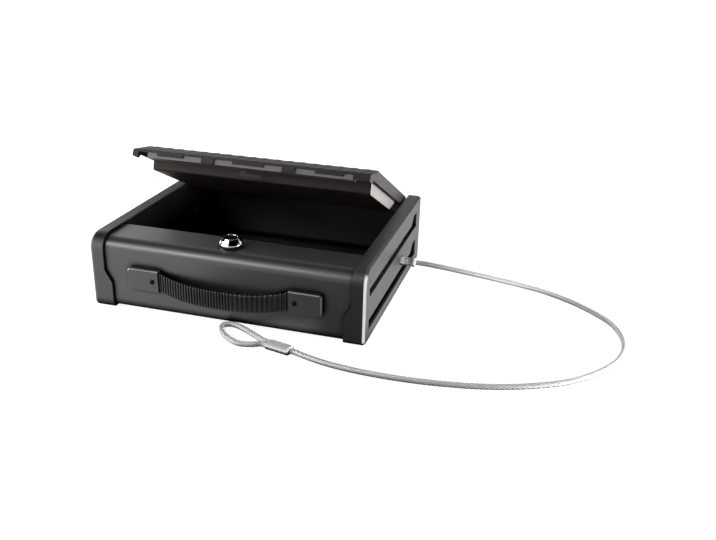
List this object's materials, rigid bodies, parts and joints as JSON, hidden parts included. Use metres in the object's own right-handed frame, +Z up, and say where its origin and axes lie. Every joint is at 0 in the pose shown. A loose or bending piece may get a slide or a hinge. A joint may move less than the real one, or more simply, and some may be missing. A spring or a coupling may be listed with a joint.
{
  "type": "portable car safe",
  "caption": "Portable car safe: a folded steel case between moulded end caps, with a hinged lid, a key lock, a flexible front handle and a looped steel tether cable.",
  "frame": {"origin": "on the ground, under the middle of the case and its front handle, without the tether cable", "axes": "+X along the width toward the cable side, +Y toward the hinge, +Z up; the handle faces -Y"},
  "size_m": [0.6542, 0.361, 0.1855],
  "materials": {
    "case_paint": "satin black powder coat",
    "cap_plastic": "fine textured dark grey moulding",
    "inner_paint": "satin black paint",
    "lid_paint": "satin brownish black paint, lightly textured",
    "pan_paint": "semi-gloss brownish black paint",
    "zinc": "bright zinc plate",
    "dull_zinc": "dull zinc plate",
    "hinge_steel": "dark plated steel",
    "chrome": "polished chrome",
    "plug_metal": "dark blued steel",
    "handle_plastic": "satin black moulding",
    "strap_rubber": "ribbed black rubber",
    "black_screw": "black oxide, glossy",
    "aluminium": "pressed, satin",
    "cable_wire": "stranded wire under a clear coat"
  },
  "bodies": {
    "case": {"case_sheet": "case_paint", "side_plate_left": "inner_paint", "side_plate_right": "inner_paint", "end_cap_left": "cap_plastic", "end_cap_right": "cap_plastic", "cap_screw_left_1": "zinc", "cap_screw_left_2": "zinc", "cap_screw_left_3": "zinc", "cap_screw_left_4": "zinc", "cap_screw_right_1": "zinc", "cap_screw_right_2": "zinc", "cap_screw_right_3": "zinc", "cap_screw_right_4": "zinc", "hinge_back_leaf": "hinge_steel", "hinge_pin": "hinge_steel", "lock_barrel": "chrome", "lock_nut": "zinc", "handle_cover_left": "handle_plastic", "handle_cover_right": "handle_plastic", "handle_screw_left": "black_screw", "handle_screw_right": "black_screw", "handle_nut_left": "zinc", "handle_nut_right": "zinc", "handle_strap": "strap_rubber", "cable_ferrule": "aluminium", "anchor_nut": "zinc", "tether_cable": "cable_wire", "crimp_sleeve": "aluminium", "cable_eye": "cable_wire"},
    "lid": {"lid_panel": "lid_paint", "lid_pan": "pan_paint", "lid_front_channel": "dull_zinc", "lid_strike": "lid_paint", "hinge_lid_leaf": "hinge_steel"},
    "lock_cylinder": {"lock_plug": "plug_metal", "lock_cam": "zinc", "cam_screw": "zinc"}
  },
  "joints": [
    {"name": "lid_hinge", "type": "hinge", "parent": "case", "child": "lid", "pos_m": [0, 0.1449, 0.0896], "axis": [-1, 0, 0], "range_deg": [-27, 63]},
    {"name": "lock_turn", "type": "hinge", "parent": "case", "child": "lock_cylinder", "pos_m": [0, -0.113, 0.0722], "axis": [0, 0, 1], "range_deg": [0, 90]}
  ]
}
